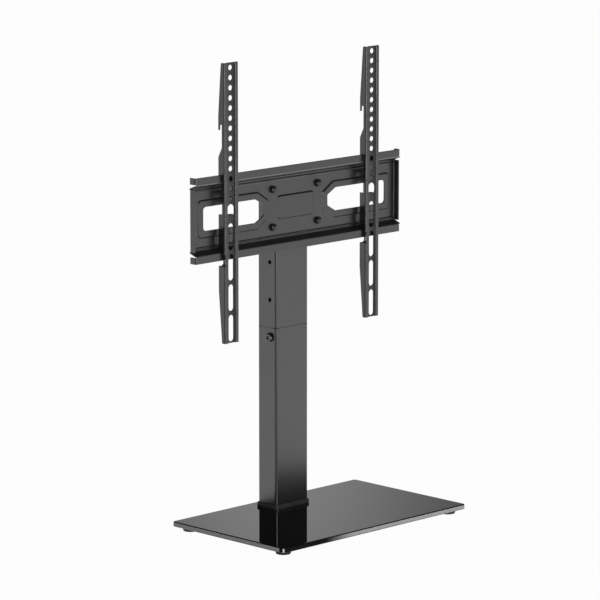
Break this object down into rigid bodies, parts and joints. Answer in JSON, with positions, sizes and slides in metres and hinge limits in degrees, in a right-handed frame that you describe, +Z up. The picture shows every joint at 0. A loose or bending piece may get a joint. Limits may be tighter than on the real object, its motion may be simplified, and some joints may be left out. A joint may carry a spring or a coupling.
{
  "type": "tabletop tv stand with mount",
  "caption": "Tabletop TV stand: black glass foot, flat steel column that slides up, pressed wall plate and hooked slotted arms that carry the screen.",
  "frame": {"origin": "middle of the footprint, at the level the feet stand on", "axes": "+Z up, +X to the right seen from the front, -Y towards the television and the viewer"},
  "size_m": [0.4446, 0.2426, 0.726],
  "materials": {
    "black_glass": "polished, opaque black",
    "foot_rubber": "matte",
    "black_plastic": "satin",
    "column_paint": "fine satin powder coat",
    "plate_paint": "fine satin powder coat",
    "arm_paint": "fine satin powder coat",
    "hidden_steel": "plain",
    "screw_steel": "black oxide"
  },
  "bodies": {
    "stand": {"glass_base": "black_glass", "foot_front_left": "foot_rubber", "foot_front_right": "foot_rubber", "foot_back_left": "foot_rubber", "foot_back_right": "foot_rubber", "pad_over_glass": "foot_rubber", "pad_under_glass": "foot_rubber", "glass_bushes": "black_plastic", "clamp_plate": "hidden_steel", "base_screws": "screw_steel", "foot_block": "hidden_steel", "column_trim": "black_plastic", "column_lower": "column_paint", "clamp_nut": "hidden_steel"},
    "clamp_bolt": {"clamp_bolt": "screw_steel"},
    "riser": {"column_upper": "column_paint", "inner_tube": "hidden_steel", "column_cap": "black_plastic", "head_plate": "plate_paint", "wall_plate": "plate_paint", "plate_bolts": "screw_steel", "plate_washers": "screw_steel", "plate_nuts": "screw_steel"},
    "left_arm": {"arm_left": "arm_paint", "lock_ledge_left": "arm_paint", "lock_nut_left": "screw_steel"},
    "right_arm": {"arm_right": "arm_paint", "lock_ledge_right": "arm_paint", "lock_nut_right": "screw_steel"},
    "left_lock": {"lock_screw_left": "screw_steel"},
    "right_lock": {"lock_screw_right": "screw_steel"}
  },
  "joints": [
    {"name": "height_slide", "type": "slide", "parent": "stand", "child": "riser", "axis": [0, 0, 1], "range_m": [0, 0.118]},
    {"name": "clamp_turn", "type": "hinge", "parent": "stand", "child": "clamp_bolt", "pos_m": [-0.035, 0.0756, 0.2858], "axis": [-1, 0, 0], "range_deg": [0, 360]},
    {"name": "arm_left_slide", "type": "slide", "parent": "riser", "child": "left_arm", "axis": [1, 0, 0], "range_m": [-0.05, 0.078]},
    {"name": "arm_right_slide", "type": "slide", "parent": "riser", "child": "right_arm", "axis": [-1, 0, 0], "range_m": [-0.05, 0.078]},
    {"name": "lock_left_travel", "type": "slide", "parent": "left_arm", "child": "left_lock", "axis": [0, 0, -1], "range_m": [0, 0.007]},
    {"name": "lock_right_travel", "type": "slide", "parent": "right_arm", "child": "right_lock", "axis": [0, 0, -1], "range_m": [0, 0.007]}
  ]
}
